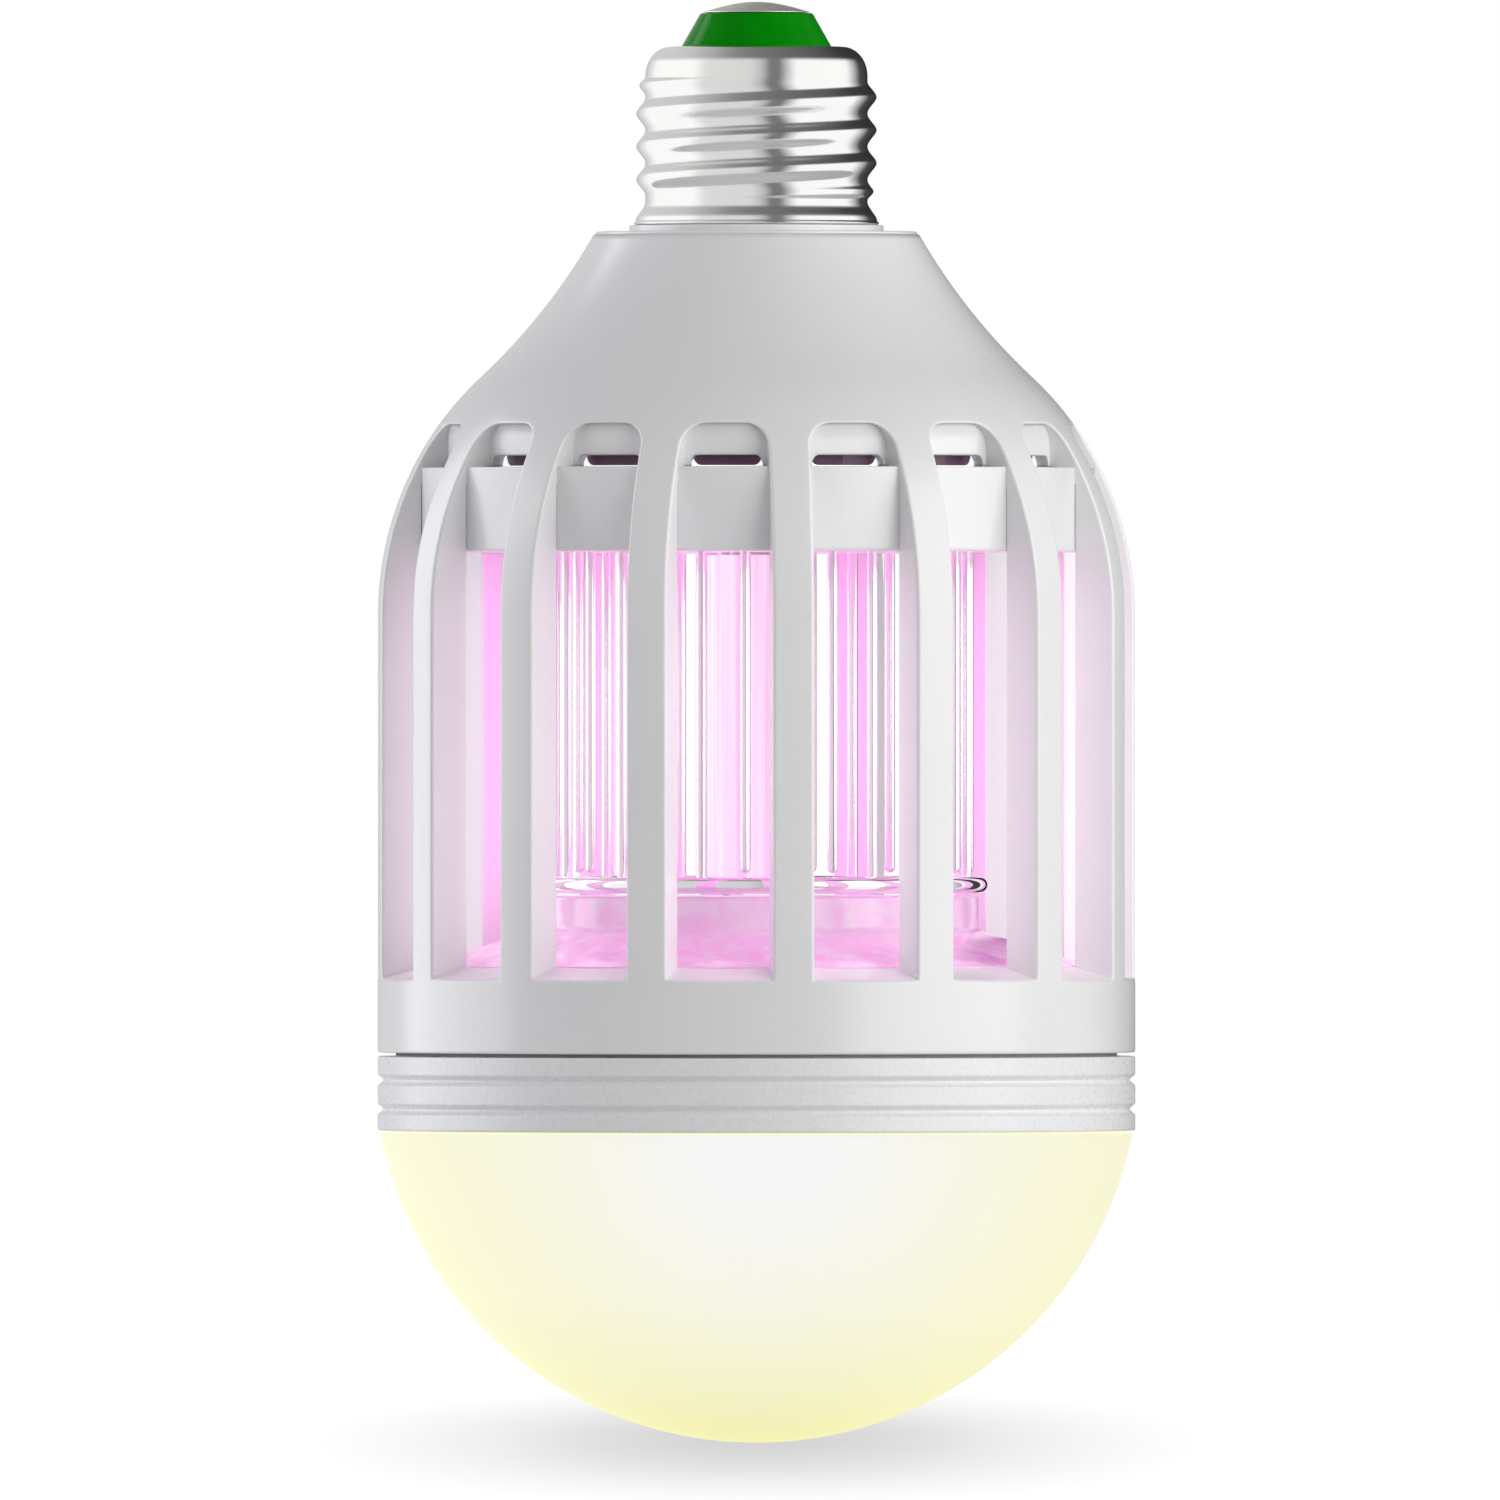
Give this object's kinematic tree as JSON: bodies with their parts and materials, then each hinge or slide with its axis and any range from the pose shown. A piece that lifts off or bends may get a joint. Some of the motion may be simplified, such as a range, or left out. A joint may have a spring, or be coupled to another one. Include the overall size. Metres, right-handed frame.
{
  "type": "insect killer light bulb",
  "caption": "Screw-cap light bulb with a slotted white cage round an electric rod grid and ultraviolet column, a grooved collar, and an opal light dome below.",
  "frame": {"origin": "on the lamp's axis, at the flat top face of the neck, where the screw cap leaves the housing", "axes": "+Z along the lamp's axis towards the screw cap, so the lamp hangs below the origin; -Y is the front, with a slot of the cage centred on it"},
  "size_m": [0.0832, 0.0832, 0.1582],
  "materials": {
    "contact_metal": "bright tin plate",
    "green_insulator": "glossy",
    "shell_nickel": "nickel plate",
    "white_moulding": "satin moulded",
    "circuit_board": "dark solder mask",
    "screw_steel": "zinc plate",
    "ferrite": "dull black",
    "coil_tape": "satin tape",
    "capacitor_can": "dark sleeve",
    "film_capacitor": "dipped",
    "red_wire": "insulated wire",
    "white_wire": "insulated wire",
    "grid_steel": "bright drawn wire",
    "ring_chrome": "polished",
    "column_tube": "milky, lit",
    "ultraviolet_chip": "lit",
    "collar_paint": "white powder coat",
    "light_board": "white solder mask",
    "light_chip": "lit phosphor",
    "opal_dome": "opal, lit"
  },
  "bodies": {
    "root": {"centre_contact": "contact_metal", "cap_insulator": "green_insulator", "screw_shell": "shell_nickel", "cage_housing": "white_moulding", "driver_board": "circuit_board", "board_screw_1": "screw_steel", "board_screw_2": "screw_steel", "board_screw_3": "screw_steel", "transformer_core": "ferrite", "transformer_coil": "coil_tape", "capacitor_tall": "capacitor_can", "capacitor_small": "capacitor_can", "capacitor_film": "film_capacitor", "choke": "ferrite", "live_lead": "red_wire", "neutral_lead": "white_wire", "grid_top_holder": "white_moulding", "grid_live": "grid_steel", "grid_neutral": "ring_chrome", "uv_tube": "column_tube", "uv_board": "circuit_board", "uv_led_1": "ultraviolet_chip", "uv_led_2": "ultraviolet_chip", "uv_led_3": "ultraviolet_chip", "uv_led_4": "ultraviolet_chip", "uv_led_5": "ultraviolet_chip", "uv_led_6": "ultraviolet_chip", "grid_base": "white_moulding", "light_collar": "collar_paint", "light_board": "light_board", "light_led_1": "light_chip", "light_led_2": "light_chip", "light_led_3": "light_chip", "light_led_4": "light_chip", "light_led_5": "light_chip", "light_led_6": "light_chip", "light_led_7": "light_chip", "light_led_8": "light_chip", "light_lead_a": "white_wire", "light_lead_b": "white_wire", "diffuser_dome": "opal_dome"}
  },
  "joints": []
}
